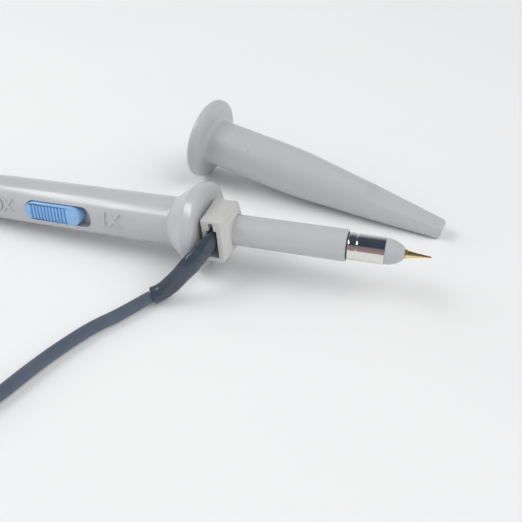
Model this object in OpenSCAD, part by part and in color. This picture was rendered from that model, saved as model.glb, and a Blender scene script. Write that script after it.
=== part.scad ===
// Ten-to-one oscilloscope probe lying on a bench: handle with a finger guard and
// a slide switch, ground lead with a crocodile clip, and the hook cap beside it.
// Millimetres. +X runs along the probe to its tip, +Z is up, z = 0 is the bench.

/* [Handle] */
// Radius of the handle just behind the finger guard
handle_r = 4.9; // [4.8:0.05:5.2]
// Radius of the handle at its rear end
rear_r = 4.45; // [4.4:0.05:4.7]
// Length of the handle behind the guard's front face
handle_len = 72; // [70:1:90]
// Radius of the cavity in the handle
cavity_r = 3.6; // [3.5:0.05:3.7]

/* [Finger guard] */
// Radius of the finger guard
guard_r = 8.6; // [8:0.1:10]
// Width of the guard's rim
guard_rim = 2.4; // [2:0.1:3]
// Length of the guard with the cone behind it
guard_len = 6.6; // [6:0.1:8]

/* [Barrel] */
// Radius of the plastic barrel sleeve
barrel_r = 3; // [3:0.05:3.2]
// Front end of the barrel sleeve, from the guard's face
barrel_end = 26.5; // [24:0.5:27]
// Radius of the metal ground barrel
metal_r = 2.5; // [2.5:0.05:2.55]
// Front end of the metal ground barrel
metal_end = 33.75; // [33:0.25:35]

/* [Tip] */
// Length of the domed nose insulator
nose_len = 3.65; // [3:0.05:4.5]
// Distance from the metal barrel's end to the needle's point
needle_len = 8; // [7:0.5:10]
// Radius of the needle where it leaves the nose
needle_r = 0.66; // [0.5:0.02:0.8]

/* [Slide switch] */
// Angle of the switch above the side of the handle
switch_angle = 11.5; // [0:0.5:30]
// Length of the switch knob
knob_len = 13.2; // [12:0.1:14]
// Width of the switch knob
knob_w = 4; // [3.6:0.1:4.2]
// Rear end of the knob, from the guard's face
knob_rear = -39.7; // [-41:0.1:-39]
// Travel of the knob
knob_travel = 2.2; // [1.8:0.1:2.4]

/* [Ground collar] */
// Radius of the ring round the barrel
collar_r = 5.25; // [4.8:0.05:5.4]
// Rear and front faces of the collar, from the guard's face
collar_rear = 0.75; // [0.5:0.05:1]
collar_front = 4.5; // [4:0.1:4.6]
// Distance of the collar's flat side from the barrel's axis
collar_side = 5.5; // [5.2:0.1:6]

/* [Ground lead] */
// Diameter of the ground lead
lead_d = 2.3; // [2:0.1:2.6]
// Length of the crocodile clip's jaws and tails
clip_len = 26; // [26:1:30]

/* [Hook cap] */
// Length of the hook cap
cap_len = 59.8; // [59:0.2:62]
// Radius of the cap's flange
cap_flange_r = 9.6; // [9:0.1:10.5]
// Radius of the cap's body at the flange
cap_r = 5.3; // [5.2:0.02:5.5]
// Travel of the hook out of the cap
hook_travel = 5; // [3:0.5:5]

/* [Place on the bench] */
// Place of the guard's front face
probe_x = 14.3; // [14:0.1:15]
probe_y = -13.1; // [-14:0.1:-12]
// Place of the middle of the cap's rear face
cap_x = 0.2; // [-2:0.1:2]
cap_y = 19.6; // [18:0.1:24]
// Turn of the cap on the bench
cap_yaw = -9.5; // [-15:0.5:0]

/* [Hidden] */
$fn = 48;

guard_crest = 0.5 - guard_rim;
rear_contact = -handle_len + 1;
tilt = atan((guard_r - rear_r) / (guard_crest - rear_contact));
probe_z = guard_r * cos(tilt) - guard_crest * sin(tilt);

tube_wall_r = 2.4;
slot_w = knob_w + 0.3;
slot_rear = knob_rear - 0.25;
slot_front = knob_rear + knob_len + knob_travel + 0.25;
board_top = 0.8;
board_rear = -50;
board_front = -15;
gland_r = 3.3;
gland_front = -60;
gland_bore_r = 2;
needle_tip = metal_end + needle_len;
nose_half = 2.38;
socket_r = 0.92;

base_ring_r = 3.2;
collar_bore_r = base_ring_r + 0.06;
collar_top = 5.15;
collar_lift = 0.3;

cap_wide_r = 5.48;
cap_wide_at = 28;
cap_tip_r = 2.15;
cap_flat_at = 42.3;
cap_flat_start = 2.6;
cap_flat_end = 1.45;
cap_roll = 8;
cap_bore_r = 4.35;
core_r = 4.2;
socket_bore_r = 3.08;
socket_depth = 22;
spring_bore_r = 3.45;
spring_step = 38.5;
cap_crest = 1.4;
cap_tip_low = cap_flat_end * cos(cap_roll) + sqrt(pow(cap_tip_r, 2) - pow(cap_flat_end, 2)) * sin(cap_roll);
cap_tilt = atan((cap_flange_r - cap_tip_low) / (cap_len - 0.3 - cap_crest));
cap_z = cap_flange_r * cos(cap_tilt) + cap_crest * sin(cap_tilt);

clip_x = -47.7;
clip_y = -49.1;
clip_pivot_x = 11;
clip_pivot_z = 3;

// Route of the ground lead from the sleeve's end to the clip, on the bench
lead_route = [
    [8.07, -28.23, 1.58], [7.4, -28.9, 1.4], [5.9, -31.2, 1.2], [4.1, -34.2, 1.15],
    [1.2, -38.6, 1.15], [-1.6, -44.8, 1.15], [-3.4, -50, 1.15], [-5, -55.2, 1.15],
    [-7.6, -60.6, 1.15], [-11.6, -65, 1.15], [-16.8, -68.2, 1.15], [-23, -69.8, 1.15],
    [-29.4, -69.6, 1.15], [-35.6, -67.6, 1.15], [-41, -64, 1.15], [-45, -58.8, 1.25],
    [-47.3, -54.3, 1.42], [-47.65, -51.8, 1.55], [-47.7, -50.2, 1.6]
];
// Middle line of the heat-shrink sleeve, out of the collar and down to the bench
sleeve_route = [
    [17, -17.4, 8.6], [16.76, -18.9, 8.5], [16.12, -20.75, 8.2], [15.12, -23.25, 7.66],
    [13.46, -24.8, 5.9], [11.44, -25.9, 3.7], [9.7, -26.95, 2.2], [8.3, -28, 1.65]
];
// Half width and half thickness of the flattened sleeve along that line
sleeve_width = [2.1, 2.1, 2.1, 2.05, 1.9, 1.8, 1.7, 1.65];
sleeve_thick = [0.8, 0.85, 1.1, 1.35, 1.5, 1.6, 1.62, 1.62];

// Places things in the probe's own frame: x along its axis from the guard's face
module on_probe() { translate([probe_x, probe_y, probe_z]) rotate([0, -tilt, 0]) children(); }

// Places things in the switch's frame: z out through the knob
module on_switch() { on_probe() rotate([90 - switch_angle, 0, 0]) children(); }

// Places things in the cap's own frame: x along its axis from the flange's rear face
module on_cap() {
    translate([cap_x, cap_y, cap_z]) rotate([0, cap_tilt, cap_yaw]) rotate([cap_roll, 0, 0]) children();
}

// Places things in the clip's frame: x from its tail to its teeth, on the bench
module on_clip() { translate([clip_x, clip_y, 0]) rotate([0, 0, 90]) children(); }

// Turns an outline of [radius, place along the axis] points about the x axis
module lathe(outline) { rotate([0, 90, 0]) rotate_extrude() polygon(outline); }

// Tube along the x axis from a to b
module tube(r_out, r_in, a, b) {
    lathe([[r_in, a], [r_out, a], [r_out, b], [r_in, b]]);
}

// Rod along the x axis from a to b
module rod(r, a, b) { translate([a, 0, 0]) rotate([0, 90, 0]) cylinder(r = r, h = b - a); }

// Points on an arc about [x, y] from angle a to angle b
function arc(x, y, r, a, b, n = 5) = [for (i = [0:n]) let (t = a + (b - a) * i / n)
    [x + r * cos(t), y + r * sin(t)]];

// Flat outline with round ends, from x = a to x = b
module stadium(a, b, w) {
    translate([a + w / 2, -w / 2]) square([b - a - w, w]);
    for (x = [a + w / 2, b - w / 2]) translate([x, 0]) circle(d = w);
}

// Unit vector along v
function unit(v) = v / norm(v);

// Direction of a route at its point i
function heading(p, i) = unit(p[min(i + 1, len(p) - 1)] - p[max(i - 1, 0)]);

// Cubic curve through four points, at t from 0 to 1 between the middle two
function spline(a, b, c, d, t) = 0.5 * (2 * b + (c - a) * t + (2 * a - 5 * b + 4 * c - d) * t * t
    + (3 * b - a - 3 * c + d) * t * t * t);

// Smooth version of a route with n steps between its points
function smooth(p, n) = [for (i = [0:len(p) - 2]) for (k = [0:n - 1])
    spline(p[max(i - 1, 0)], p[i], p[i + 1], p[min(i + 2, len(p) - 1)], k / n), p[len(p) - 1]];

// Solid swept along a route, with half widths w across and half thicknesses h up
module sweep(route, w, h, sides) {
    count = len(route);
    points = [for (i = [0:count - 1]) let (
            d = heading(route, i),
            across = unit(cross(d, [0, 0, 1])),
            up = cross(across, d))
        for (k = [0:sides - 1]) let (a = 360 * k / sides)
            route[i] + up * w[i] * sin(a) + across * h[i] * cos(a)];
    sides_faces = [for (i = [0:count - 2]) for (k = [0:sides - 1]) let (
            j = (k + 1) % sides,
            a = i * sides + k,
            b = i * sides + j)
        each [[a, a + sides, b], [b, a + sides, b + sides]]];
    first = [[for (k = [0:sides - 1]) k]];
    last = [[for (k = [sides - 1:-1:0]) (count - 1) * sides + k]];
    polyhedron(concat(points), concat(sides_faces, first, last));
}

module handle_shell() {
    cone_end = -guard_rim - 0.4;
    outline = concat(
        [[gland_r, -handle_len]],
        arc(rear_r - 0.8, -handle_len + 0.8, 0.8, -90, 0, 4),
        [[handle_r - 0.1, -47], [handle_r, -guard_len - 1], [handle_r + 0.06, -guard_len],
         [handle_r + 0.3, -guard_len + 0.6], [guard_r - 0.45, cone_end]],
        arc(guard_r - 0.6, -guard_rim + 0.5, 0.6, -40, 0, 3),
        arc(guard_r - 0.6, -0.6, 0.6, 0, 90, 4),
        [[tube_wall_r, 0], [tube_wall_r, -6], [cavity_r, -6.2],
         [cavity_r, gland_front + 0.3], [gland_r, gland_front]]);
    color("gainsboro") on_probe() difference() {
        lathe(outline);
        rotate([90 - switch_angle, 0, 0]) translate([0, 0, 2])
            linear_extrude(6) stadium(slot_rear, slot_front, slot_w);
    }
}

module base_ground_ring() {
    color("silver") on_probe() tube(base_ring_r, tube_wall_r, 0.02, collar_front - 0.05);
}

module barrel_sleeve() {
    color("gainsboro") on_probe() lathe([
        [tube_wall_r, collar_front - 0.03], [barrel_r, collar_front - 0.03],
        [barrel_r, barrel_end - 0.15], [barrel_r - 0.15, barrel_end], [tube_wall_r, barrel_end]]);
}

module ground_barrel() {
    bore_r = 2;
    color("silver") on_probe() lathe(concat(
        [[bore_r, -12], [tube_wall_r, -12], [tube_wall_r, barrel_end], [2.2, barrel_end + 0.05],
         [2.2, barrel_end + 0.4]],
        arc(metal_r - 0.2, barrel_end + 0.75, 0.25, -90, 0, 3),
        [[metal_r + 0.07, barrel_end + 1.4], [metal_r + 0.03, barrel_end + 2.1],
         [2.4, barrel_end + 2.35], [metal_r, barrel_end + 2.6], [metal_r, metal_end],
         [bore_r, metal_end]]));
}

module front_bush() {
    color("goldenrod") on_probe() tube(cavity_r - 0.02, tube_wall_r + 0.01, -12, -6.3);
}

module inner_insulator() {
    color("ivory") on_probe() tube(1.98, 1.25, -10, 30.3);
}

module nose_insulator() {
    dome = [for (i = [0:7]) let (t = i * 67.5 / 7) [nose_half * cos(t), metal_end + nose_len * sin(t)]];
    color("darkgray") on_probe() lathe(concat(
        [[socket_r + 0.02, 30.5], [1.98, 30.5], [1.98, metal_end + 0.01]],
        dome, [[socket_r + 0.02, dome[7][1]]]));
}

module needle_socket() {
    color("darkgoldenrod") on_probe() tube(socket_r, 0.52, 30.6, metal_end + nose_len - 0.15);
}

module probe_needle() {
    base = metal_end + nose_len - 0.13;
    color("gold") on_probe() lathe([
        [0, 32], [0.5, 32], [0.5, base], [needle_r, base], [needle_r - 0.08, base + 1.2],
        [0.1, needle_tip - 0.05], [0, needle_tip]]);
}

module tip_resistor() {
    color("steelblue") on_probe() lathe([
        [0, 18], [1.05, 18.2], [1.15, 18.8], [0.98, 19.6], [0.98, 23], [1.15, 23.8], [1.05, 24.4], [0, 24.6]]);
}

module centre_conductor() {
    color("silver") on_probe() {
        rod(0.3, 24.65, 30.55);
        rod(0.3, board_front + 0.02, 17.95);
    }
}

module circuit_board() {
    color("green") on_switch() translate([board_rear, -2.9, 0])
        cube([board_front - board_rear, 5.8, board_top]);
}

module trim_capacitor() {
    color("tan") on_switch() translate([-24, -1.3, -1.45]) cube([3.4, 2.6, 1.43]);
}

module damping_resistor() {
    color("black") on_switch() translate([-48.4, -0.8, board_top + 0.02]) cube([3.2, 1.6, 0.6]);
}

module switch_contacts() {
    color("gold") on_switch() for (i = [0:2])
        translate([-38.2 + 4.6 * i, -1.5, board_top + 0.01]) cube([2.2, 3, 0.14]);
}

module detent_spring() {
    color("silver") on_switch() {
        translate([-44.6, -1.4, board_top + 0.02]) cube([3, 2.8, 0.2]);
        translate([-42, -1.4, board_top + 0.22]) cube([0.2, 2.8, 1.3]);
    }
}

module switch_knob() {
    foot_half = 2.2;
    stem_bottom = 2.6;
    rib_pitch = 0.87;
    color("cornflowerblue") on_switch() {
        translate([knob_rear - 0.8, -foot_half, 1.95]) cube([knob_len + 1.6, 2 * foot_half, 0.7]);
        intersection() {
            translate([0, 0, stem_bottom]) linear_extrude(3)
                stadium(knob_rear, knob_rear + knob_len, knob_w);
            rod(5.25, knob_rear - 1, knob_rear + knob_len + 1);
        }
        for (i = [0:9]) translate([knob_rear + 2 + rib_pitch * i, -1.45, 4.6]) cube([0.4, 2.9, 0.8]);
    }
}

module switch_wiper() {
    color("silver") on_switch() {
        translate([-37.6, -1, 1.72]) cube([9, 2, 0.2]);
        for (x = [-37.4, -32.8]) translate([x, -1, 1]) cube([0.3, 2, 0.75]);
    }
}

module cable_ferrule() {
    color("goldenrod") on_probe() tube(2.75, 2.1, gland_front + 1, gland_front + 8);
}

module rear_gland() {
    flange = 1.2;
    color("dimgray") on_probe() lathe([
        [gland_bore_r, -handle_len - flange], [rear_r - 0.65, -handle_len - flange],
        [rear_r - 0.35, -handle_len - flange + 0.3], [rear_r - 0.35, -handle_len - 0.02],
        [gland_r - 0.02, -handle_len - 0.02], [gland_r - 0.02, gland_front - 0.05],
        [gland_bore_r, gland_front - 0.05]]);
}

module ground_collar() {
    length = collar_front - collar_rear;
    color("whitesmoke") on_probe() translate([collar_rear, 0, 0]) difference() {
        rotate([90, 0, 90]) linear_extrude(length) difference() {
            union() {
                intersection() {
                    translate([0, collar_lift]) circle(r = collar_r);
                    translate([-10, -10]) square([20, 10 + collar_top]);
                }
                polygon([[-collar_side, -4.1], [-2.9, -4.75], [0, collar_lift - collar_r], [0, collar_top],
                         [-collar_side + 0.1, collar_top], [-collar_side, collar_top - 0.1]]);
            }
            circle(r = collar_bore_r);
        }
        translate([length / 2 - 1, -8, -3.2]) cube([2, 6, 6.2]);
        translate([length / 2 - 0.45, -8, 2.9]) cube([0.9, 4, 1.7]);
    }
}

module collar_contact() {
    reach = base_ring_r + 0.12;
    color("goldenrod") on_probe() translate([collar_front - 2.7, -reach - 0.35, -1.9])
        cube([0.9, 0.3, 3.6]);
}

module heat_shrink_sleeve() {
    color("darkslategray") sweep(sleeve_route, sleeve_width, sleeve_thick, 16);
}

module ground_lead() {
    route = smooth(lead_route, 3);
    half = [for (p = route) lead_d / 2];
    color("darkslategray") sweep(route, half, half, 8);
}

// Bent plate seen from the side, z = f(x), as wide as w
module clip_plate(outline, w) {
    rotate([90, 0, 0]) translate([0, 0, -w / 2]) linear_extrude(w) polygon(outline);
}

module clip_lower_jaw() {
    side = [[3, 0.5], [8, 0.5], [clip_len - 1, 0.5], [clip_len - 1, 0.9], [clip_pivot_x + 3, 3.4],
            [clip_pivot_x + 1, 4.1], [clip_pivot_x - 1, 4.1], [6, 1.4], [3, 1.4]];
    color("silver") on_clip() difference() {
        union() {
            translate([2.5, -2.4, 0]) cube([clip_len - 3.5, 4.8, 0.5]);
            for (y = [-2.2, 2.2]) translate([0, y, 0]) clip_plate(side, 0.4);
            translate([clip_len - 1.4, -2, 0.5]) cube([0.4, 4, 0.9]);
        }
        translate([clip_pivot_x, 5, clip_pivot_z]) rotate([90, 0, 0]) cylinder(r = 0.6, h = 10);
    }
}

module clip_upper_jaw() {
    top = [[3.8, 6.1], [3.8, 5.6], [7, 5.2], [clip_pivot_x, 4.9], [clip_len - 1.6, 2.2],
           [clip_len - 1.4, 1.5], [clip_len - 1, 1.5], [clip_len - 1, 2.4],
           [clip_pivot_x + 0.4, 5.4], [7.2, 5.7]];
    side = [[clip_pivot_x - 2, 5.2], [clip_pivot_x - 1.2, 2.1], [clip_pivot_x + 1.2, 2.1],
            [clip_len - 3, 1.9], [clip_len - 3, 2.7], [clip_pivot_x + 0.6, 5.2]];
    color("silver") on_clip() difference() {
        union() {
            clip_plate(top, 3.6);
            for (y = [-1.6, 1.6]) translate([0, y, 0]) clip_plate(side, 0.4);
        }
        translate([clip_pivot_x, 5, clip_pivot_z]) rotate([90, 0, 0]) cylinder(r = 0.65, h = 10);
    }
}

module clip_pivot_pin() {
    color("gray") on_clip() translate([clip_pivot_x, 2.6, clip_pivot_z]) rotate([90, 0, 0])
        cylinder(r = 0.59, h = 5.2);
}

module clip_spring() {
    color("silver") on_clip() translate([clip_pivot_x, 1.2, clip_pivot_z]) rotate([90, 0, 0])
        difference() {
            cylinder(r = 1.15, h = 2.4);
            translate([0, 0, -1]) cylinder(r = 0.75, h = 5);
        }
}

module clip_crimp() {
    color("silver") on_clip() {
        translate([-1, 0, 1.6]) rod(1.55, 0, 3.4);
        translate([2.4, -1.1, 0.52]) cube([4, 2.2, 0.5]);
    }
}

// Radius of the cap's outside at x beyond the wide place
function cap_cone(x) = cap_wide_r + (cap_tip_r - cap_wide_r) * (x - cap_wide_at) / (cap_len - cap_wide_at);

module cap_sleeve() {
    outline = concat(
        [[cap_bore_r, 0], [cap_flange_r - 0.8, 0]],
        arc(cap_flange_r - 0.8, 0.8, 0.8, -90, 0, 4),
        arc(cap_flange_r - 0.8, 1.4, 0.8, 0, 70, 4),
        [[cap_r + 1, 2.9], [cap_r + 0.3, 3.2], [cap_r, 4], [cap_wide_r, cap_wide_at],
         [cap_tip_r, cap_len - 0.3], [cap_tip_r - 0.3, cap_len], [0.9, cap_len], [0.9, 46],
         [1.9, 45.9], [1.9, spring_step], [spring_bore_r, spring_step - 0.1],
         [spring_bore_r, 24.6], [cap_bore_r, 24]]);
    flat = [[cap_flat_at - 1.2, cap_cone(cap_flat_at - 1.2) + 0.02], [cap_flat_at, 3.1],
            [cap_flat_at + 1.2, cap_flat_start], [cap_len - 0.3, cap_flat_end],
            [cap_len + 1, cap_flat_end], [cap_len + 1, 6], [cap_flat_at - 1.2, 6]];
    color("gainsboro") on_cap() difference() {
        lathe(outline);
        for (turn = [0, 180]) rotate([turn, 0, 0]) translate([0, 5, 0]) rotate([90, 0, 0])
            linear_extrude(10) polygon(flat);
    }
}

module hook_core() {
    color("white") on_cap() lathe([
        [socket_bore_r, 0.4], [core_r, 0.4], [core_r, 18.6], [3.2, 19.6], [3.2, 30.2],
        [1.75, 30.4], [1.75, 40], [0.5, 40], [0.5, 36], [0.75, 36], [0.75, 31],
        [1.7, 31], [2.6, 29.4], [2.6, socket_depth], [socket_bore_r, socket_depth]]);
}

module cap_spring() {
    color("silver") on_cap() for (i = [0:4]) translate([31 + i * 1.6, 0, 0]) rotate([0, 90, 0])
        rotate_extrude() translate([2.6, 0]) circle(r = 0.25, $fn = 16);
}

module hook_wire() {
    color("goldenrod") on_cap() {
        rod(0.4, 36.6, 58.6);
        translate([58.4, 0, 0]) cube([0.6, 1.5, 0.8], center = true);
    }
}

module needle_contact() {
    color("goldenrod") on_cap() tube(0.73, 0.5, 31.2, 35.8);
}

module barrel_grip() {
    color("silver") on_cap() tube(2.59, 2.54, 23.4, 29);
}

handle_shell();
base_ground_ring();
barrel_sleeve();
ground_barrel();
front_bush();
inner_insulator();
nose_insulator();
needle_socket();
probe_needle();
tip_resistor();
centre_conductor();
circuit_board();
trim_capacitor();
damping_resistor();
switch_contacts();
detent_spring();
switch_knob();
switch_wiper();
cable_ferrule();
rear_gland();
ground_collar();
collar_contact();
heat_shrink_sleeve();
ground_lead();
clip_lower_jaw();
clip_upper_jaw();
clip_pivot_pin();
clip_spring();
clip_crimp();
cap_sleeve();
hook_core();
cap_spring();
hook_wire();
needle_contact();
barrel_grip();
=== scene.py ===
from math import cos, pi, radians, sin, tau

import bmesh
import bpy
from mathutils import Matrix, Vector


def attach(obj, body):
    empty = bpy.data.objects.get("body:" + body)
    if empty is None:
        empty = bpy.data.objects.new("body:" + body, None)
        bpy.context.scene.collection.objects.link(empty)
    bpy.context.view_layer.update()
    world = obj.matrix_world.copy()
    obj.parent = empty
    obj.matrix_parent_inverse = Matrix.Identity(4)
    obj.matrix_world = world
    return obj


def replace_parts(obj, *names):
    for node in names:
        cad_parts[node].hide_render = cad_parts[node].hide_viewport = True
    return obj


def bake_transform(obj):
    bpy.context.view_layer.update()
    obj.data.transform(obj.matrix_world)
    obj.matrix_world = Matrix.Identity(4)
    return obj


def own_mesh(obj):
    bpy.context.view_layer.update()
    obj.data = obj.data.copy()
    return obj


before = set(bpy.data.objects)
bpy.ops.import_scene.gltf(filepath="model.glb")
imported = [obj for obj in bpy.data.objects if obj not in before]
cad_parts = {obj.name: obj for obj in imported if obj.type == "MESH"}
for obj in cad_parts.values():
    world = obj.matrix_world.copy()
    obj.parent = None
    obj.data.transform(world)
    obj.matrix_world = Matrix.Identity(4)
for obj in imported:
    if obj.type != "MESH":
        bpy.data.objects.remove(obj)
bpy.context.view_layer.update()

# Viewpoint: a hand-held camera a hand's breadth above the bench, in front of the probe
# and looking down on it at forty degrees, from a little to the right of square on.
lens_data = bpy.data.cameras.new("bench_camera")
lens_data.sensor_width = 36
lens_data.lens = 36.536
lens_data.clip_start = 0.005
bench_camera = bpy.data.objects.new("bench_camera", lens_data)
bench_camera.location = (0.049339, -0.0900186, 0.070193)
bench_camera.rotation_euler = (radians(50), 0, radians(17.788))
bpy.context.scene.collection.objects.link(bench_camera)
bpy.context.scene.camera = bench_camera

# Bench and light: a matt white laminate top inside a pale light tent, with one softbox high
# at the left. The tent lights everything evenly, and shiny pieces mirror the room round it.


def colour(code):
    """Linear colour of an sRGB hex code."""
    parts = [int(code[i:i + 2], 16) / 255 for i in (1, 3, 5)]
    return (*[c / 12.92 if c <= 0.04045 else ((c + 0.055) / 1.055) ** 2.4 for c in parts], 1)


def add(tree, kind, inputs=None, **settings):
    """Adds a node with its settings, and with each input set to a value or joined to a socket."""
    made = tree.nodes.new(kind)
    for name, value in settings.items():
        setattr(made, name, value)
    for name, value in (inputs or {}).items():
        if isinstance(value, bpy.types.NodeSocket):
            tree.links.new(value, made.inputs[name])
        else:
            made.inputs[name].default_value = value
    return made


def blank_material(name):
    """A new material with only its output, and that output."""
    made = bpy.data.materials.new(name)
    made.use_nodes = True
    made.node_tree.nodes.clear()
    return made, made.node_tree, add(made.node_tree, "ShaderNodeOutputMaterial")


def per_metre(size_mm):
    """Pattern scale at which one feature is that many millimetres across."""
    return 1000 / size_mm


# White laminate, pressed with a faint orange-peel: matt, with a barely uneven white.
laminate, tree, out = blank_material("pressed_white_laminate")
where = add(tree, "ShaderNodeTexCoord")
cloudy = add(tree, "ShaderNodeTexNoise", {"Vector": where.outputs["Object"],
             "Scale": per_metre(90), "Detail": 2})
tint = add(tree, "ShaderNodeMix", {"Factor": cloudy.outputs["Fac"],
           6: colour("#EDEEF0"), 7: colour("#F3F3F3")}, data_type="RGBA")
peel = add(tree, "ShaderNodeTexNoise", {"Vector": where.outputs["Object"],
           "Scale": per_metre(0.8), "Detail": 1})
dents = add(tree, "ShaderNodeBump", {"Height": peel.outputs["Fac"], "Strength": 0.05,
            "Distance": 0.00002})
skin = add(tree, "ShaderNodeBsdfPrincipled", {"Base Color": tint.outputs[2], "Roughness": 0.6,
           "IOR": 1.5, "Specular IOR Level": 0.3, "Normal": dents.outputs["Normal"]})
tree.links.new(skin.outputs["BSDF"], out.inputs["Surface"])

BENCH_HALF = 3
BENCH_GAP = 0.0002
bench = bmesh.new()
bmesh.ops.create_grid(bench, x_segments=1, y_segments=1, size=BENCH_HALF,
                      matrix=Matrix.Translation((0, 0, -BENCH_GAP)))
bench_mesh = bpy.data.meshes.new("bench_top")
bench.to_mesh(bench_mesh)
bench.free()
bench_mesh.materials.append(laminate)
bench_top = bpy.data.objects.new("bench_top", bench_mesh)
bpy.context.scene.collection.objects.link(bench_top)

SOFTBOX_PLACE = (-0.66, -0.26, 0.8)
SOFTBOX_SIZE = (0.24, 0.62)
softbox_data = bpy.data.lights.new("softbox", "AREA")
softbox_data.shape = "RECTANGLE"
softbox_data.size, softbox_data.size_y = SOFTBOX_SIZE
softbox_data.energy = 3.05
softbox = bpy.data.objects.new("softbox", softbox_data)
softbox.location = SOFTBOX_PLACE
softbox.rotation_euler = Vector(SOFTBOX_PLACE).to_track_quat("Z", "X").to_euler()
bpy.context.scene.collection.objects.link(softbox)

# The tent over the bench glows softly all round, and more where a lamp shines on it: a big
# one high over the tip's end, a low one behind the handle, a weak one in front. What shiny
# pieces mirror is the room: a warm wall in front, then a dark ceiling, then light.
TENT_GLOWS = (((0.616, 0, 0.788), 3.75), ((-0.94, 0, 0.342), 2.45), ((0.1, -0.93, 0.36), 0.95))
GLOW_TIGHTNESS = 12.0
ROOM_BANDS = ((0, (0.36, 0.30, 0.29, 1)), (0.24, (0.24, 0.17, 0.19, 1)), (0.275, (0.04, 0.06, 0.10, 1)),
              (0.7, (0.07, 0.08, 0.10, 1)), (0.86, (0.40, 0.41, 0.43, 1)), (1, (0.75, 0.76, 0.78, 1)))
world = bpy.data.worlds.new("light_tent_in_room")
world.use_nodes = True
tree = world.node_tree
tree.nodes.clear()
look = add(tree, "ShaderNodeTexCoord")
way = add(tree, "ShaderNodeSeparateXYZ", {"Vector": look.outputs["Generated"]})
fade = add(tree, "ShaderNodeMapRange", {"Value": way.outputs["Z"], "From Min": 0.0, "From Max": 1.0,
           "To Min": 0.5, "To Max": 0.12})
glow = fade.outputs["Result"]
for towards, strength in TENT_GLOWS:
    facing = add(tree, "ShaderNodeVectorMath", {0: look.outputs["Generated"], 1: towards},
                 operation="DOT_PRODUCT")
    lit = add(tree, "ShaderNodeMath", {0: facing.outputs["Value"], 1: 0.0}, operation="MAXIMUM")
    spot = add(tree, "ShaderNodeMath", {0: lit.outputs["Value"], 1: GLOW_TIGHTNESS}, operation="POWER")
    glow = add(tree, "ShaderNodeMath", {0: spot.outputs["Value"], 1: strength, 2: glow},
               operation="MULTIPLY_ADD").outputs["Value"]
to_front = add(tree, "ShaderNodeMath", {0: way.outputs["Y"], 1: -1.0}, operation="MULTIPLY")
round_axis = add(tree, "ShaderNodeMath", {0: way.outputs["Z"], 1: to_front.outputs["Value"]},
                 operation="ARCTAN2")
half_turns = add(tree, "ShaderNodeMath", {0: round_axis.outputs["Value"], 1: 1 / pi}, operation="MULTIPLY")
room = add(tree, "ShaderNodeValToRGB", {"Fac": half_turns.outputs["Value"]})
bands = room.color_ramp.elements
(bands[0].position, bands[0].color), (bands[1].position, bands[1].color) = ROOM_BANDS[0], ROOM_BANDS[-1]
for height, shade in ROOM_BANDS[1:-1]:
    bands.new(height).color = shade
ray = add(tree, "ShaderNodeLightPath")
tent_or_room = add(tree, "ShaderNodeMix", {"Factor": ray.outputs["Is Glossy Ray"], 6: glow,
                   7: room.outputs["Color"]}, data_type="RGBA")
sky = add(tree, "ShaderNodeBackground", {"Color": tent_or_room.outputs[2], "Strength": 1.0})
add(tree, "ShaderNodeOutputWorld", {"Surface": sky.outputs["Background"]})
bpy.context.scene.world = world
bpy.context.scene.view_settings.view_transform = "Standard"

# Ground lead: fine stranded copper in a soft PVC jacket 2.3 mm thick, extruded. It lies
# loose on the bench between the collar's sleeve and the crocodile clip.
LEAD_D = 0.0023
LEAD_ROUTE = [
    (8.07, -28.23, 1.58), (7.4, -28.9, 1.4), (5.9, -31.2, 1.2), (4.1, -34.2, 1.15),
    (1.2, -38.6, 1.15), (-1.6, -44.8, 1.15), (-3.4, -50, 1.15), (-5, -55.2, 1.15),
    (-7.6, -60.6, 1.15), (-11.6, -65, 1.15), (-16.8, -68.2, 1.15), (-23, -69.8, 1.15),
    (-29.4, -69.6, 1.15), (-35.6, -67.6, 1.15), (-41, -64, 1.15), (-45, -58.8, 1.25),
    (-47.3, -54.3, 1.42), (-47.65, -51.8, 1.55), (-47.7, -50.2, 1.6)]


def smooth_route(points, steps):
    """The same route with that many short steps from each point to the next, on one smooth curve."""
    ends = [points[0], *points, points[-1]]
    fine = []
    for a, b, c, d in zip(ends, ends[1:], ends[2:], ends[3:]):
        a, b, c, d = Vector(a), Vector(b), Vector(c), Vector(d)
        for k in range(steps):
            t = k / steps
            fine.append((2 * b + (c - a) * t + (2 * a - 5 * b + 4 * c - d) * t * t
                         + (3 * b - a - 3 * c + d) * t ** 3) / 2)
    return fine + [Vector(points[-1])]


def mesh_of(curve):
    """The mesh that a curve or a text draws, in place of the curve."""
    drawn = bpy.data.objects.new(curve.name, curve)
    bpy.context.scene.collection.objects.link(drawn)
    mesh = bpy.data.meshes.new_from_object(drawn.evaluated_get(bpy.context.evaluated_depsgraph_get()))
    bpy.data.objects.remove(drawn)
    bpy.data.curves.remove(curve)
    return mesh


def wire_mesh(name, route, radius, roundness):
    """Round wire with closed ends along a route in metres."""
    line = bpy.data.curves.new(name, "CURVE")
    line.dimensions = "3D"
    line.bevel_depth = radius
    line.bevel_resolution = roundness
    line.use_fill_caps = True
    strand = line.splines.new("POLY")
    strand.points.add(len(route) - 1)
    for point, place in zip(strand.points, route):
        point.co = (*place, 1)
    return mesh_of(line)


def add_piece(name, mesh, material, corner=40):
    """A new object of the part with a mesh already in place, its material and smooth faces."""
    mesh.name = name
    mesh.materials.clear()
    mesh.materials.append(material)
    mesh.shade_smooth()
    mesh.set_sharp_from_angle(angle=radians(corner))
    made = bpy.data.objects.new(name, mesh)
    bpy.context.scene.collection.objects.link(made)
    return made


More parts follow.
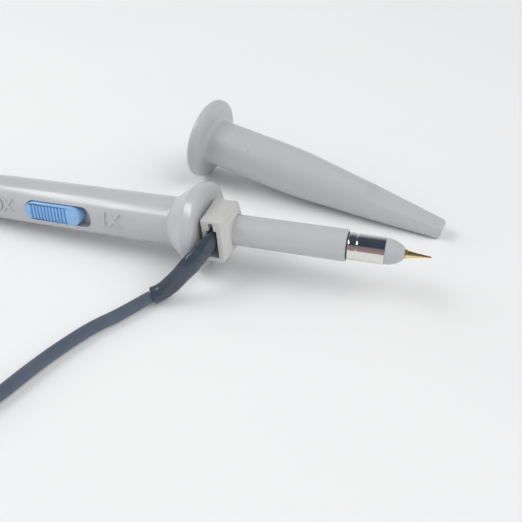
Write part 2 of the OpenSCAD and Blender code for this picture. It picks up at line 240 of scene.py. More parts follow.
def soft_skin(name, pale, dark, roughness, wrinkle_mm, relief_mm):
    """Soft extruded or shrunk plastic: uneven shade, worn satin and fine drawn wrinkles."""
    made, tree, out = blank_material(name)
    where = add(tree, "ShaderNodeTexCoord")
    patches = add(tree, "ShaderNodeTexNoise", {"Vector": where.outputs["Object"],
                  "Scale": per_metre(3.5), "Detail": 4, "Roughness": 0.6})
    shade = add(tree, "ShaderNodeMix", {"Factor": patches.outputs["Fac"], 6: colour(dark), 7: colour(pale)},
                data_type="RGBA")
    rub = add(tree, "ShaderNodeMapRange", {"Value": patches.outputs["Fac"], "From Min": 0.3, "From Max": 0.7,
              "To Min": roughness - 0.05, "To Max": roughness + 0.06})
    creases = add(tree, "ShaderNodeTexNoise", {"Vector": where.outputs["Object"],
                  "Scale": per_metre(wrinkle_mm), "Detail": 3})
    relief = add(tree, "ShaderNodeBump", {"Height": creases.outputs["Fac"], "Strength": 0.6,
                 "Distance": relief_mm / 1000})
    skin = add(tree, "ShaderNodeBsdfPrincipled", {"Base Color": shade.outputs[2],
               "Roughness": rub.outputs["Result"], "IOR": 1.52, "Normal": relief.outputs["Normal"]})
    tree.links.new(skin.outputs["BSDF"], out.inputs["Surface"])
    return made


# Soft PVC: satin, so a broad dull highlight runs along it, with faint patches from handling.
soft_pvc = soft_skin("extruded_soft_pvc", "#5B6777", "#4A5565", 0.38, 0.9, 0.012)
lead_line = [p / 1000 for p in smooth_route(LEAD_ROUTE, 6)]
ground_lead = add_piece("ground_lead_wire", wire_mesh("ground_lead_wire", lead_line, LEAD_D / 2, 8), soft_pvc)
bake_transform(ground_lead)
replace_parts(ground_lead, "ground_lead")

# Heat-shrink sleeve: polyolefin tube shrunk over the lead's joint with its contact. It
# comes out of the collar squeezed flat, creases where it turns down, and rounds off.
SLEEVE_ROUTE = [
    (16.85, -17.4, 9.35), (16.62, -18.9, 9.25), (16, -20.75, 8.9), (14.9, -23.25, 7.9),
    (13.3, -24.8, 6), (11.4, -25.9, 3.75), (9.7, -26.95, 2.25), (8.3, -28, 1.7)]
SLEEVE_HALF_WIDTH = [2.35, 2.35, 2.35, 2.2, 1.95, 1.8, 1.72, 1.7]
SLEEVE_HALF_THICKNESS = [0.85, 0.9, 1.15, 1.4, 1.55, 1.62, 1.64, 1.66]
SLEEVE_MOUTH = ((0.12, 1.48, 1.45), (0.06, 1.26, 1.26), (-1.2, 1.2, 1.2))
SLEEVE_SIDES = 32
PINCH_DEPTH, PINCH_PLACE, PINCH_REACH = 0.07, 0.6, 4


def oval_ring(bm, centre, heading, half_width, half_thickness, sides):
    """Oval loop of edges across a route, wide way up."""
    across = heading.cross(Vector((0, 0, 1))).normalized()
    up = across.cross(heading)
    frame_of_ring = Matrix((across * half_thickness, up * half_width, heading)).transposed().to_4x4()
    made = bmesh.ops.create_circle(bm, segments=sides, radius=1,
                                   matrix=Matrix.Translation(centre) @ frame_of_ring)
    return list({e for v in made["verts"] for e in v.link_edges})


polyolefin = soft_skin("shrunk_polyolefin_tube", "#4D5967", "#26313F", 0.27, 1.1, 0.09)
sleeve_line = smooth_route(SLEEVE_ROUTE, 5)
sizes = smooth_route([(w, t, 0) for w, t in zip(SLEEVE_HALF_WIDTH, SLEEVE_HALF_THICKNESS)], 5)
bm = bmesh.new()
rings = []
last = len(sleeve_line) - 1
for i, (centre, size) in enumerate(zip(sleeve_line, sizes)):
    heading = (sleeve_line[min(i + 1, last)] - sleeve_line[max(i - 1, 0)]).normalized()
    pinch = 1 - PINCH_DEPTH * max(0, 1 - abs(i - PINCH_PLACE * last) / PINCH_REACH)
    rings.append(oval_ring(bm, centre, heading, size.x * pinch, size.y * pinch, SLEEVE_SIDES))
for beyond, half_width, half_thickness in SLEEVE_MOUTH:
    rings.append(oval_ring(bm, sleeve_line[-1] + heading * beyond, heading, half_width, half_thickness,
                           SLEEVE_SIDES))
for one, other in zip(rings, rings[1:]):
    bmesh.ops.bridge_loops(bm, edges=one + other)
for ring in (rings[0], rings[-1]):
    bmesh.ops.contextual_create(bm, geom=ring)
bmesh.ops.recalc_face_normals(bm, faces=bm.faces)
bm.transform(Matrix.Scale(0.001, 4))
mesh = bpy.data.meshes.new("heat_shrink")
bm.to_mesh(mesh)
bm.free()
heat_shrink = add_piece("heat_shrink_tube", mesh, polyolefin, 60)
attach(heat_shrink, "collar")
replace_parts(heat_shrink, "heat_shrink_sleeve")

# Crocodile clip: two jaws of pressed steel plate on a riveted pin, with a torsion spring
# between them, all nickel plated. The lower jaw's tail is rolled round the lead.
MM = Matrix.Scale(0.001, 4)
on_clip = Matrix.Translation((-0.0477, -0.0491, 0)) @ Matrix.Rotation(pi / 2, 4, "Z") @ MM
PIVOT = (11, 3)
JAW_END = 25
PLATE = 0.4
TEETH, TOOTH = 7, 0.35


def finish_piece(name, bm, place, material, body, slot, *nodes, corner=40):
    """Puts a shape made in millimetres in its place on the part, as a piece that rides on a body."""
    bmesh.ops.recalc_face_normals(bm, faces=bm.faces)
    bm.transform(place)
    mesh = bpy.data.meshes.new(name)
    bm.to_mesh(mesh)
    bm.free()
    made = add_piece(name, mesh, material, corner)
    even = made.modifiers.new("even_shading", "WEIGHTED_NORMAL")
    even.keep_sharp = True
    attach(made, body)
    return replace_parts(made, *nodes)


def slab(bm, outline, low, high, turned_up=None):
    """Adds a flat outline drawn out from low to high, and turned if asked."""
    face = bm.faces.new([bm.verts.new((x, y, low)) for x, y in outline])
    grown = bmesh.ops.extrude_face_region(bm, geom=[face])["geom"]
    top = [v for v in grown if isinstance(v, bmesh.types.BMVert)]
    bmesh.ops.translate(bm, verts=top, vec=(0, 0, high - low))
    if turned_up:
        bottom = {v for corner in top for e in corner.link_edges for v in e.verts if v not in top}
        bmesh.ops.transform(bm, verts=[*top, *bottom], matrix=turned_up)


def round_off(bm, edges, width, segments):
    """Rounds the given edges."""
    bmesh.ops.bevel(bm, geom=edges, offset=width, offset_type="OFFSET", affect="EDGES", segments=segments,
                    profile=0.5, material=-1, clamp_overlap=True)


def soften(bm, width, segments=2, over=30):
    """Rounds every edge that is sharper than that many degrees."""
    sharp = [e for e in bm.edges if len(e.link_faces) == 2 and e.calc_face_angle(0) > radians(over)]
    round_off(bm, sharp, width, segments)


def plated(name, pale, dark, roughness, axis, line_mm, relief_mm):
    """Plated metal with fine tool lines across an axis, and a slightly uneven plate."""
    made, tree, out = blank_material(name)
    where = add(tree, "ShaderNodeTexCoord")
    along = add(tree, "ShaderNodeVectorMath", {0: where.outputs["Object"], 1: axis}, operation="DOT_PRODUCT")
    tool_lines = add(tree, "ShaderNodeTexNoise", {"W": along.outputs["Value"], "Scale": per_metre(line_mm),
                     "Detail": 2}, noise_dimensions="1D")
    blooms = add(tree, "ShaderNodeTexNoise", {"Vector": where.outputs["Object"],
                 "Scale": per_metre(1.6), "Detail": 3})
    tone = add(tree, "ShaderNodeMix", {"Factor": blooms.outputs["Fac"], 6: colour(dark), 7: colour(pale)},
               data_type="RGBA")
    haze = add(tree, "ShaderNodeMapRange", {"Value": blooms.outputs["Fac"], "From Min": 0.3, "From Max": 0.7,
               "To Min": roughness * 0.7, "To Max": roughness * 1.5})
    relief = add(tree, "ShaderNodeBump", {"Height": tool_lines.outputs["Fac"], "Strength": 0.5,
                 "Distance": relief_mm / 1000})
    metal = add(tree, "ShaderNodeBsdfPrincipled", {"Base Color": tone.outputs[2], "Metallic": 1.0,
                "Roughness": haze.outputs["Result"], "Normal": relief.outputs["Normal"]})
    tree.links.new(metal.outputs["BSDF"], out.inputs["Surface"])
    return made


# Bright nickel on pressed steel: mirror-like but slightly dull, with rolling lines.
pressed_steel = plated("nickel_plated_pressed_steel", "#DCDBD6", "#C9C8C4", 0.2, (0, 1, 0), 0.25, 0.004)
STAND_UP = Matrix.Rotation(pi / 2, 4, "X")


def toothed_side(teeth_from, edge_height, back):
    """Side wall of a jaw: its toothed edge from a place to the tip, closed along its back."""
    pitch = (JAW_END - teeth_from[0]) / TEETH
    drop = (edge_height - teeth_from[1]) / TEETH
    saw = []
    for i in range(TEETH):
        x, z = teeth_from[0] + pitch * i, teeth_from[1] + drop * i
        saw += [(x, z), (x + pitch * 0.5, z + TOOTH + drop / 2)]
    return [*saw, (JAW_END, edge_height), *back]


LOWER_PLATE = [(2.5, -2.4), (21.5, -2.4), (JAW_END, -1.9), (JAW_END, 1.9), (21.5, 2.4), (2.5, 2.4)]
LOWER_BACK = [(JAW_END, 0.4), (3, 0.4), (3, 1.4), (6, 1.4), (10, 4.1), (12, 4.1)]
LOWER_LIP = [(24.6, 0.45), (JAW_END, 0.45), (JAW_END, 1.35), (24.8, 1.35), (24.6, 1.0)]
bm = bmesh.new()
slab(bm, LOWER_PLATE, 0.02, 0.5)
for inner in (2.0, -2.4):
    slab(bm, toothed_side((14, 3.0), 1.0, LOWER_BACK), inner, inner + PLATE, STAND_UP)
slab(bm, LOWER_LIP, -1.8, 1.8, STAND_UP)
soften(bm, 0.1)
lower_jaw = finish_piece("clip_jaw_lower", bm, on_clip, pressed_steel, "handle", "clip_steel",
                         "clip_lower_jaw")

UPPER_PLATE = [
    (3.8, 6.1), (3.8, 5.7), (7, 5.3), (11, 4.95), (23.4, 2.35), (23.7, 1.55), (24.1, 1.55),
    (24.3, 2.35), (11.4, 5.4), (7.2, 5.7)]
UPPER_TEETH_FROM, UPPER_PITCH = (13, 2.0), 1.3
upper_saw = [(UPPER_TEETH_FROM[0] + i * UPPER_PITCH + j * UPPER_PITCH / 2, UPPER_TEETH_FROM[1] + TOOTH * j)
             for i in range(TEETH) for j in (0, 1)]
upper_side = [(9, 5.2), (9.8, 2.1), (12.2, 2.1), *upper_saw, (22, 1.9), (22, 2.7), (11.6, 5.2)]
bm = bmesh.new()
slab(bm, UPPER_PLATE, -1.8, 1.8, STAND_UP)
for inner in (1.4, -1.8):
    slab(bm, upper_side, inner, inner + PLATE, STAND_UP)
soften(bm, 0.1)
upper_jaw = finish_piece("clip_jaw_upper", bm, on_clip, pressed_steel, "clip_jaw", "clip_steel",
                         "clip_upper_jaw")

# Rivet: a plain pin through both jaws, with a thin flat head at each end. Each row is a
# disc's radius, its depth and its place across the clip.
RIVET = ((0.59, 5.2, 0), (0.95, 0.22, -2.5), (0.95, 0.22, 2.5))
bm = bmesh.new()
for radius, depth, across in RIVET:
    bmesh.ops.create_cone(bm, cap_ends=True, segments=28, radius1=radius, radius2=radius, depth=depth,
                          matrix=Matrix.Translation((PIVOT[0], across, PIVOT[1])) @ STAND_UP)
soften(bm, 0.07)
rivet = finish_piece("clip_rivet", bm, on_clip, pressed_steel, "handle", "clip_steel", "clip_pivot_pin")

# Rolled crimp: the jaw's tail wrapped round the lead's jacket in two tabs with a seam.
CRIMP_MIDDLE, CRIMP_R, CRIMP_LENGTH = 0.72, 1.5, 3.3
bm = bmesh.new()
bmesh.ops.create_cone(bm, cap_ends=True, segments=40, radius1=CRIMP_R, radius2=CRIMP_R, depth=CRIMP_LENGTH,
                      matrix=Matrix.Translation((CRIMP_MIDDLE, 0, 1.6)) @ Matrix.Rotation(pi / 2, 4, "Y"))
slab(bm, [(2.2, -1.1), (6.4, -1.1), (6.4, 1.1), (2.2, 1.1)], 0.52, 0.95)
bmesh.ops.create_cube(bm, size=1, matrix=Matrix.Translation((CRIMP_MIDDLE, 0, 3.06))
                      @ Matrix.Diagonal((3.1, 0.5, 0.24, 1)))
soften(bm, 0.12)
crimp = finish_piece("clip_crimp_tube", bm, on_clip, pressed_steel, "handle", "clip_steel", "clip_crimp")

# Torsion spring: three and a half turns of round spring wire on the rivet.
COIL_R, COIL_STEPS, STEPS_A_TURN = 0.95, 84, 24
COIL_WIRE_R = 0.00019
spring_wire = plated("drawn_spring_steel_wire", "#C9C9CB", "#A9A9AD", 0.3, (0, 1, 0), 0.3, 0.003)
coil_line = []
for i in range(COIL_STEPS + 1):
    angle = tau * i / STEPS_A_TURN
    coil_line.append(on_clip @ Vector((PIVOT[0] + COIL_R * cos(angle), -1 + 2 * i / COIL_STEPS,
                                       PIVOT[1] + COIL_R * sin(angle))))
coil = add_piece("clip_coil_spring", wire_mesh("clip_coil_spring", coil_line, COIL_WIRE_R, 2), spring_wire)
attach(coil, "handle")
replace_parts(coil, "clip_spring")

# Handle and finger guard: one ABS moulding, satin light grey, turned in form. A slot in
# its side takes the switch, and raised numerals tell the switch's two settings.
TILT = radians(3.43694)
on_probe = Matrix.Translation((0.0143, -0.0131, 0.00869844)) @ Matrix.Rotation(-TILT, 4, "Y") @ MM
SWITCH_RISE = 11.5
on_switch = on_probe @ Matrix.Rotation(radians(90 - SWITCH_RISE), 4, "X")
HANDLE_OUTLINE = [
    (-60, 3.3), (-72, 3.3), (-72, 3.65), (-71.94, 3.95), (-71.76, 4.22), (-71.5, 4.38),
    (-71.2, 4.45), (-47, 4.8), (-34, 4.84), (-21, 4.87),
    (-7.4, 4.9), (-7, 4.94), (-6.75, 5.04), (-6.55, 5.22), (-6.35, 5.5),
    (-6, 5.72), (-5, 6.5), (-4, 7.27), (-3.3, 7.8), (-3.06, 7.99), (-2.94, 8.12), (-2.86, 8.24),
    (-2.72, 8.33), (-2.4, 8.39), (-1.6, 8.5), (-0.95, 8.58), (-0.62, 8.57), (-0.4, 8.47),
    (-0.26, 8.3), (-0.16, 8.02), (-0.02, 7), (0, 6.4), (0, 3.2), (-0.02, 2.34),
    (-6, 2.34), (-6.2, 3.6), (-59.7, 3.6)]


def turned(outline, steps=72, closed=True):
    """Turns an outline of (place along the axis, radius) points about the x axis."""
    bm = bmesh.new()
    points = [bm.verts.new((x, 0, r)) for x, r in outline]
    lines = [bm.edges.new(pair) for pair in zip(points, points[1:])]
    if closed:
        lines.append(bm.edges.new((points[-1], points[0])))
    bmesh.ops.spin(bm, geom=[*points, *lines], cent=(0, 0, 0), axis=(1, 0, 0), dvec=(0, 0, 0), angle=tau,
                   steps=steps, use_merge=True, use_normal_flip=False, use_duplicate=False)
    bmesh.ops.remove_doubles(bm, verts=bm.verts, dist=0.0005)
    bmesh.ops.dissolve_degenerate(bm, edges=bm.edges, dist=0.0001)
    bmesh.ops.recalc_face_normals(bm, faces=bm.faces)
    return bm


def carved(shape, tool, operation="DIFFERENCE"):
    """The shape with the tool's form taken out of it, or only what they share."""
    pair = []
    for bm in (shape, tool):
        bmesh.ops.recalc_face_normals(bm, faces=bm.faces)
        mesh = bpy.data.meshes.new("blank")
        bm.to_mesh(mesh)
        bm.free()
        pair.append(bpy.data.objects.new("blank", mesh))
        bpy.context.scene.collection.objects.link(pair[-1])
    step = pair[0].modifiers.new("carve", "BOOLEAN")
    step.object, step.operation, step.solver = pair[1], operation, "EXACT"
    result = bmesh.new()
    result.from_mesh(bpy.data.meshes.new_from_object(
        pair[0].evaluated_get(bpy.context.evaluated_depsgraph_get())))
    for blank in pair:
        bpy.data.objects.remove(blank)
    return result


def round_ended(x_from, x_to, width, low, high, steps=14):
    """Bar with half-round ends along x, standing from low to high."""
    half = width / 2
    ends = [(x_to - half, -pi / 2), (x_from + half, pi / 2)]
    outline = [(x + half * cos(start + pi * i / steps), half * sin(start + pi * i / steps))
               for x, start in ends for i in range(steps + 1)]
    bm = bmesh.new()
    slab(bm, outline, low, high)
    return bm


def moulded(name, pale, dark, roughness, ior, grain_mm, relief_mm):
    """Injection-moulded plastic: spark-eroded grain, flow clouds in its shade and handled patches."""
    made, tree, out = blank_material(name)
    where = add(tree, "ShaderNodeTexCoord")
    flow = add(tree, "ShaderNodeTexNoise", {"Vector": where.outputs["Object"], "Scale": per_metre(14),
               "Detail": 3, "Distortion": 0.6})
    shade = add(tree, "ShaderNodeMix", {"Factor": flow.outputs["Fac"], 6: colour(dark), 7: colour(pale)},
                data_type="RGBA")
    handled = add(tree, "ShaderNodeTexNoise", {"Vector": where.outputs["Object"],
                  "Scale": per_metre(5), "Detail": 5})
    satin = add(tree, "ShaderNodeMapRange", {"Value": handled.outputs["Fac"], "From Min": 0.3,
                "From Max": 0.7, "To Min": roughness - 0.05, "To Max": roughness + 0.05})
    grain = add(tree, "ShaderNodeTexNoise", {"Vector": where.outputs["Object"], "Scale": per_metre(grain_mm),
                "Detail": 2})
    relief = add(tree, "ShaderNodeBump", {"Height": grain.outputs["Fac"], "Strength": 0.5,
                 "Distance": relief_mm / 1000})
    skin = add(tree, "ShaderNodeBsdfPrincipled", {"Base Color": shade.outputs[2],
               "Roughness": satin.outputs["Result"], "IOR": ior, "Normal": relief.outputs["Normal"]})
    tree.links.new(skin.outputs["BSDF"], out.inputs["Surface"])
    return made


# ABS from a fine spark-eroded mould: an even satin. The real grain is about 0.05 mm, drawn
# at 0.25 mm so that it shows at all.
grey_abs = moulded("moulded_grey_abs", "#BFC0C3", "#B8B9BC", 0.2, 1.54, 0.25, 0.002)
SLOT_FROM, SLOT_TO, SLOT_WIDTH = -39.95, -24.05, 4.3
SLOT_FLOOR, ABOVE_HANDLE = 3.05, 8
SLOT_RIM_HEIGHT = 4.2
bm = carved(turned(HANDLE_OUTLINE), round_ended(SLOT_FROM, SLOT_TO, SLOT_WIDTH, SLOT_FLOOR, ABOVE_HANDLE))
rim = [e for e in bm.edges if len(e.link_faces) == 2 and e.calc_face_angle(0) > radians(40)
       and all(SLOT_FROM - 0.1 < v.co.x < SLOT_TO + 0.1 and v.co.z > SLOT_RIM_HEIGHT for v in e.verts)]
round_off(bm, rim, 0.2, 3)
finish_piece("handle_moulding", bm, on_switch, grey_abs, "handle", "grey_plastic",
             "handle_shell", corner=50)

# Raised numerals, engraved in the mould: one or ten times, with soft edges. They are cut
# into narrow strips first, so that they can lie round the handle.
NUMERAL_SIZE, NUMERAL_RELIEF, NUMERAL_EDGE, NUMERAL_WEIGHT = 3.7, 0.17, 0.1, 0.05
HANDLE_R = 4.86
NUMERAL_DROP = 0.35
STRIP, STRIP_SHIFT = 0.2, 0.013
numerals = bmesh.new()
for words, middle in (("1X", -19.7), ("10X", -46.2)):
    sign = bpy.data.curves.new("numerals", "FONT")
    sign.body, sign.size = words, NUMERAL_SIZE
    sign.extrude, sign.bevel_depth, sign.bevel_resolution = NUMERAL_RELIEF, NUMERAL_EDGE, 2
    sign.align_x, sign.align_y, sign.offset = "CENTER", "CENTER", NUMERAL_WEIGHT
    flat = mesh_of(sign)
    letters = bmesh.new()
    letters.from_mesh(flat)
    bmesh.ops.remove_doubles(letters, verts=letters.verts, dist=0.001)
    for i in range(-11, 12):
        bmesh.ops.bisect_plane(letters, geom=[*letters.verts, *letters.edges, *letters.faces], dist=0.0001,
                               plane_co=(0, STRIP * i + STRIP_SHIFT, 0), plane_no=(0, 1, 0))
    for v in letters.verts:
        reach, round_by = HANDLE_R + v.co.z, (v.co.y + NUMERAL_DROP) / HANDLE_R
        v.co = (v.co.x + middle, reach * sin(round_by), reach * cos(round_by))
    bmesh.ops.recalc_face_normals(letters, faces=letters.faces)
    letters.to_mesh(flat)
    letters.free()
    numerals.from_mesh(flat)
finish_piece("setting_numerals", numerals, on_switch, grey_abs, "handle", "grey_plastic", corner=60)

# Slide switch: light blue ABS knob with fine ribs in a sunk window, so a thumb can push it.
KNOB_FROM, KNOB_TO, KNOB_WIDTH = -39.7, -26.5, 4.0
KNOB_CROWN_R = 5.3
WINDOW_FROM, WINDOW_TO, WINDOW_HALF = KNOB_FROM + 1.6, KNOB_FROM + 10.1, 1.6
WINDOW_FLOOR = 4.8
RIBS, FIRST_RIB, RIB_PITCH = 10, KNOB_FROM + 2.25, 0.8
RIB_SIZE, RIB_HEIGHT = (0.42, 3.0, 0.62), 4.9
blue_abs = moulded("moulded_blue_abs", "#8FBDEB", "#84B3E3", 0.3, 1.54, 0.3, 0.003)
crown = turned([(KNOB_FROM - 1, 0), (KNOB_FROM - 1, KNOB_CROWN_R), (KNOB_TO + 1, KNOB_CROWN_R),
                (KNOB_TO + 1, 0)], steps=96, closed=False)
bm = carved(round_ended(KNOB_FROM, KNOB_TO, KNOB_WIDTH, 2.6, 6), crown, "INTERSECT")
window = bmesh.new()
slab(window, [(WINDOW_FROM, -WINDOW_HALF), (WINDOW_TO, -WINDOW_HALF), (WINDOW_TO, WINDOW_HALF),
              (WINDOW_FROM, WINDOW_HALF)], WINDOW_FLOOR, 7)
bm = carved(bm, window)
soften(bm, 0.22, 3)
for i in range(RIBS):
    place = Matrix.Translation((FIRST_RIB + RIB_PITCH * i, 0, RIB_HEIGHT))
    made = bmesh.ops.create_cube(bm, size=1, matrix=place @ Matrix.Diagonal((*RIB_SIZE, 1)))
    edges = list({e for v in made["verts"] for e in v.link_edges
                  if all(u.co.z > RIB_HEIGHT for u in e.verts)})
    round_off(bm, edges, 0.13, 2)
finish_piece("switch_knob_ribbed", bm, on_switch, blue_abs, "switch", "blue_plastic",
             "switch_knob", corner=50)

# Slide plate: a flat grey strip under the knob, which keeps dust out of the slot.
PLATE_FROM, PLATE_TO, PLATE_HALF = KNOB_FROM - 0.8, KNOB_TO + 2.7, 2.2
bm = bmesh.new()
slab(bm, [(PLATE_FROM, -PLATE_HALF), (PLATE_TO, -PLATE_HALF), (PLATE_TO, PLATE_HALF),
          (PLATE_FROM, PLATE_HALF)], 1.95, 2.6)
soften(bm, 0.12)
finish_piece("switch_slide_plate", bm, on_switch, grey_abs, "switch", "blue_plastic")

# Barrel: a plain ABS tube over the metal one, in the handle's grey, with a small chamfer.
BARREL_OUTLINE = [
    (4.47, 2.34), (4.47, 3), (26.7, 3), (26.86, 2.95), (26.95, 2.82), (26.95, 2.64), (26.55, 2.6),
    (26.35, 2.34)]
bm = turned(BARREL_OUTLINE, steps=96)
finish_piece("barrel_tube", bm, on_probe, grey_abs, "handle", "grey_plastic", "barrel_sleeve")

# Ground barrel: brass tube turned on a lathe with a rounded shoulder and one groove, then
# bright nickel plated. It mirrors the room in long bands.
AXIS = (cos(TILT), 0, sin(TILT))
bright_nickel = plated("bright_nickel_on_turned_brass", "#EBE9E3", "#E0DDD6", 0.06, AXIS, 0.12, 0.0012)
METAL_OUTLINE = [
    (-12, 2), (-12, 2.3), (26.4, 2.3), (26.5, 2.2), (26.9, 2.2), (26.96, 2.3), (27.08, 2.41),
    (27.25, 2.49), (27.45, 2.54), (27.75, 2.56), (28.2, 2.55), (28.42, 2.51), (28.54, 2.44), (28.62, 2.4),
    (28.7, 2.4), (28.77, 2.43), (28.84, 2.48), (28.95, 2.5), (33.62, 2.5), (33.75, 2.44), (33.75, 2)]
bm = turned(METAL_OUTLINE, steps=96)
finish_piece("ground_barrel_tube", bm, on_probe, bright_nickel, "handle", "nickel",
             "ground_barrel")

# Nose: acetal plug pressed into the barrel's end, turned to a dome, a duller mid grey.
grey_acetal = moulded("turned_grey_acetal", "#BEBFC3", "#B4B5BA", 0.3, 1.48, 0.3, 0.006)
DOME_FROM, DOME_LENGTH, DOME_R = 33.76, 3.65, 2.38
DOME_ARC, DOME_STEPS = radians(67.5), 14
NEEDLE_BORE_R = 0.94
dome = [(DOME_FROM + DOME_LENGTH * sin(i * DOME_ARC / DOME_STEPS), DOME_R * cos(i * DOME_ARC / DOME_STEPS))
        for i in range(DOME_STEPS + 1)]
bm = turned([(30.5, NEEDLE_BORE_R), (30.5, 1.98), (DOME_FROM, 1.98), *dome, (dome[-1][0], NEEDLE_BORE_R)],
            steps=96)
finish_piece("nose_dome", bm, on_probe, grey_acetal, "handle", "nose_plastic", "nose_insulator")

# Needle: hardened contact turned to a slim point and gold plated over nickel.
gold_plate = plated("polished_gold_plate", "#F4E3A4", "#EAD386", 0.2, AXIS, 0.1, 0.001)
NEEDLE_OUTLINE = [
    (32, 0), (32, 0.5), (37.2, 0.5), (37.2, 0.78), (37.32, 0.84), (37.5, 0.84), (37.6, 0.76),
    (37.64, 0.68), (38.1, 0.62), (38.7, 0.53), (39.4, 0.43), (40.2, 0.33), (41, 0.24), (41.5, 0.18),
    (41.68, 0.12), (41.75, 0)]
bm = turned(NEEDLE_OUTLINE, steps=48, closed=False)
finish_piece("needle_point", bm, on_probe, gold_plate, "handle", "gold", "probe_needle")

# Ground collar: nylon block, warm light grey, with one flat side and top, a round far side
# and a low cone on its front. A keyhole in its side lets the flattened lead through.
COLLAR_BACK, COLLAR_FRONT = 0.75, 4.5
COLLAR_BORE_R, COLLAR_FRONT_BORE_R = 3.26, 3.04
COLLAR_R, COLLAR_RISE = 5.25, 0.3
FRONT_STEPS = ((0.955, 0.08), (0.68, 1.0))
ARC_FROM, ARC_TO, ARC_STEPS = -pi / 2, pi / 2 - 0.3925, 40
outline = [(-5.5, 5.15), (-5.5, -4.1), (-2.9, -4.75)]
for i in range(ARC_STEPS + 1):
    angle = ARC_FROM + (ARC_TO - ARC_FROM) * i / ARC_STEPS
    outline.append((COLLAR_R * cos(angle), COLLAR_RISE + COLLAR_R * sin(angle)))
FACE_ON = Matrix(((0, 0, 1, 0), (1, 0, 0, 0), (0, 1, 0, 0), (0, 0, 0, 1)))
bm = bmesh.new()
slab(bm, outline, COLLAR_BACK, COLLAR_FRONT, FACE_ON)
front = [f for f in bm.faces if all(v.co.x > COLLAR_FRONT - 0.01 for v in f.verts)]
for drawn_in, rise in FRONT_STEPS:
    grown = bmesh.ops.extrude_face_region(bm, geom=front)["geom"]
    bmesh.ops.delete(bm, geom=front, context="FACES_ONLY")
    front = [f for f in grown if isinstance(f, bmesh.types.BMFace)]
    rim = [v for v in grown if isinstance(v, bmesh.types.BMVert)]
    bmesh.ops.scale(bm, verts=rim, vec=(1, drawn_in, drawn_in))
    bmesh.ops.translate(bm, verts=rim, vec=(rise, 0, 0))
bm = carved(bm, turned([(-2, 0), (-2, COLLAR_BORE_R), (COLLAR_FRONT, COLLAR_BORE_R),
                        (COLLAR_FRONT + 0.2, COLLAR_FRONT_BORE_R), (9, COLLAR_FRONT_BORE_R), (9, 0)],
                       steps=72, closed=False))
middle = COLLAR_BACK + (COLLAR_FRONT - COLLAR_BACK) / 2
KEYHOLE = (((middle - 1, -8, -3.2), (middle + 1, -2, 3)),
           ((middle - 0.45, -8, 2.9), (middle + 0.45, -4, 4.6)))
for low, high in KEYHOLE:
    tool = bmesh.new()
    bmesh.ops.create_cube(tool, size=1, matrix=Matrix.Translation([(a + b) / 2 for a, b in zip(low, high)])
                          @ Matrix.Diagonal([*[b - a for a, b in zip(low, high)], 1]))
    bm = carved(bm, tool)
soften(bm, 0.22, 3)
warm_nylon = moulded("moulded_warm_grey_nylon", "#CBCBC8", "#C4C4C1", 0.36, 1.53, 0.3, 0.005)
finish_piece("ground_collar_block", bm, on_probe, warm_nylon, "collar", "collar_plastic",
             "ground_collar")

# Hook cap: a slimmer ABS moulding, a shade cooler, with a rounded finger flange, a long
# taper and two flats that make a chisel nose. It pushes on over the barrel.
on_cap = (Matrix.Translation((0.0002, 0.0196, 0.00970116)) @ Matrix.Rotation(radians(-9.5), 4, "Z")
          @ Matrix.Rotation(radians(7.784967), 4, "Y") @ Matrix.Rotation(radians(8), 4, "X") @ MM)
CAP_AXIS = (0.9771954, -0.1635264, -0.1354556)
CAP_OUTLINE = [
    (0, 4.35), (0, 8.7), (0.08, 9.05), (0.25, 9.3), (0.5, 9.5), (0.85, 9.58), (1.4, 9.55),
    (1.8, 9.42), (2.1, 9.2), (2.3, 8.9), (2.45, 8.4), (2.6, 7.5), (2.72, 6.4), (2.82, 5.9), (3.0, 5.6),
    (3.35, 5.45), (3.9, 5.4), (12, 5.44), (20, 5.46), (23, 5.43), (25.5, 5.34), (28, 5.18), (31, 4.94),
    (44, 3.8), (58.6, 2.27), (59.1, 2.2), (59.5, 2.02), (59.72, 1.75), (59.8, 1.4), (59.8, 0.9),
    (46, 0.9), (46, 1.9), (38.5, 1.9), (38.5, 3.45), (24.6, 3.45), (24, 4.35)]
NOSE_FLAT = [
    (40.6, 4.4), (41.3, 4.05), (41.8, 3.6), (42.3, 3.1), (42.9, 2.78), (43.5, 2.6), (59.5, 1.45),
    (61, 1.4), (61, 6), (40.6, 6)]
cool_abs = moulded("moulded_cool_grey_abs", "#BFC0C1", "#B8B9BB", 0.32, 1.54, 0.25, 0.003)
bm = turned(CAP_OUTLINE, steps=96)
for half_turn in (0, pi):
    tool = bmesh.new()
    slab(tool, NOSE_FLAT, -6, 6, Matrix.Rotation(half_turn, 4, "X") @ STAND_UP)
    bm = carved(bm, tool)
soften(bm, 0.22, 3, 24)
finish_piece("hook_cap_moulding", bm, on_cap, cool_abs, "cap", "cap_plastic", "cap_sleeve",
             corner=35)

# Hook: tinned spring steel wire, bent to a small J at its end, crimped in the core's block.
tinned_steel = plated("tinned_hook_wire", "#D6D4CE", "#BEBCB8", 0.22, CAP_AXIS, 0.15, 0.002)
HOOK_ROUTE = [
    (36.6, 0, 0), (48, 0, 0), (57.4, 0, 0), (57.9, 0.12, 0), (58.2, 0.4, 0), (58.25, 0.75, 0),
    (58.0, 1.0, 0), (57.5, 1.05, 0)]
HOOK_WIRE_R = 0.00032
hook_line = [on_cap @ p for p in smooth_route(HOOK_ROUTE, 5)]
hook_wire = add_piece("hook_wire_bent", wire_mesh("hook_wire_bent", hook_line, HOOK_WIRE_R, 4),
                      tinned_steel)
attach(hook_wire, "hook")
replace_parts(hook_wire, "hook_wire")

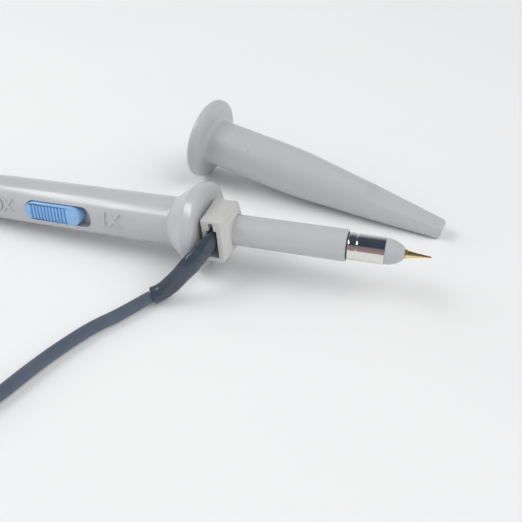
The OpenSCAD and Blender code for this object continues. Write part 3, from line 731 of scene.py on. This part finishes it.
# Return spring: fine steel wire wound round the core's tail, between the cap's shoulder
# and the core. On the real probe its turns close up as the hook is pushed out; here the coil keeps one fixed
# length and rides with the cap.
SPRING_FROM, SPRING_TO = 31.0, 37.6
SPRING_R, SPRING_TURNS, SPRING_STEPS = 2.6, 5, 120
SPRING_WIRE_R = 0.00022
spring_line = []
for i in range(SPRING_STEPS + 1):
    angle = tau * SPRING_TURNS * i / SPRING_STEPS
    spring_line.append(on_cap @ Vector((SPRING_FROM + (SPRING_TO - SPRING_FROM) * i / SPRING_STEPS,
                                        SPRING_R * cos(angle), SPRING_R * sin(angle))))
wound_spring = plated("wound_spring_steel", "#BFBFC1", "#A4A4A8", 0.28, AXIS, 0.2, 0.003)
return_spring = add_piece("cap_return_spring",
                          wire_mesh("cap_return_spring", spring_line, SPRING_WIRE_R, 3), wound_spring)
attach(return_spring, "cap")
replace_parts(return_spring, "cap_spring")
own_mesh(return_spring)

# Parts inside, and the cable gland at the handle's rear: turned, wound and moulded pieces,
# each with the finish of its own metal, ceramic, lacquer or board.
dark_pvc = moulded("moulded_dark_pvc", "#3A3E45", "#31353B", 0.45, 1.53, 0.4, 0.006)
white_ptfe = moulded("turned_white_ptfe", "#ECECE8", "#E2E2DE", 0.4, 1.38, 0.4, 0.004)
resistor_lacquer = moulded("dipped_resistor_lacquer", "#C9A878", "#B99666", 0.3, 1.5, 1.5, 0.01)
trimmer_ceramic = moulded("pressed_trimmer_ceramic", "#D9CDB4", "#CDBFA3", 0.5, 1.6, 0.6, 0.01)
chip_epoxy = moulded("moulded_black_epoxy", "#26282C", "#1D1F22", 0.5, 1.52, 0.3, 0.006)
board = moulded("solder_masked_glass_laminate", "#2F6B4A", "#275C3F", 0.35, 1.5, 0.5, 0.01)
machined_brass = plated("machined_brass", "#D8BC7C", "#C6A868", 0.25, AXIS, 0.15, 0.003)
tinned_copper = plated("tinned_copper_wire", "#D5D3CD", "#C2C0BB", 0.3, AXIS, 0.2, 0.002)
for finish, nodes in (
        (dark_pvc, ("rear_gland",)),
        (white_ptfe, ("inner_insulator", "hook_core")),
        (resistor_lacquer, ("tip_resistor",)),
        (trimmer_ceramic, ("trim_capacitor",)),
        (chip_epoxy, ("damping_resistor",)),
        (board, ("circuit_board",)),
        (machined_brass, ("needle_socket", "front_bush", "cable_ferrule", "collar_contact",
                          "needle_contact")),
        (tinned_copper, ("centre_conductor",)),
        (bright_nickel, ("base_ground_ring", "barrel_grip")),
        (gold_plate, ("switch_contacts",)),
        (wound_spring, ("detent_spring", "switch_wiper"))):
    for node in nodes:
        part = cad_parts[node]
        for place in part.material_slots:
            place.material = finish
        if not part.material_slots:
            part.data.materials.append(finish)
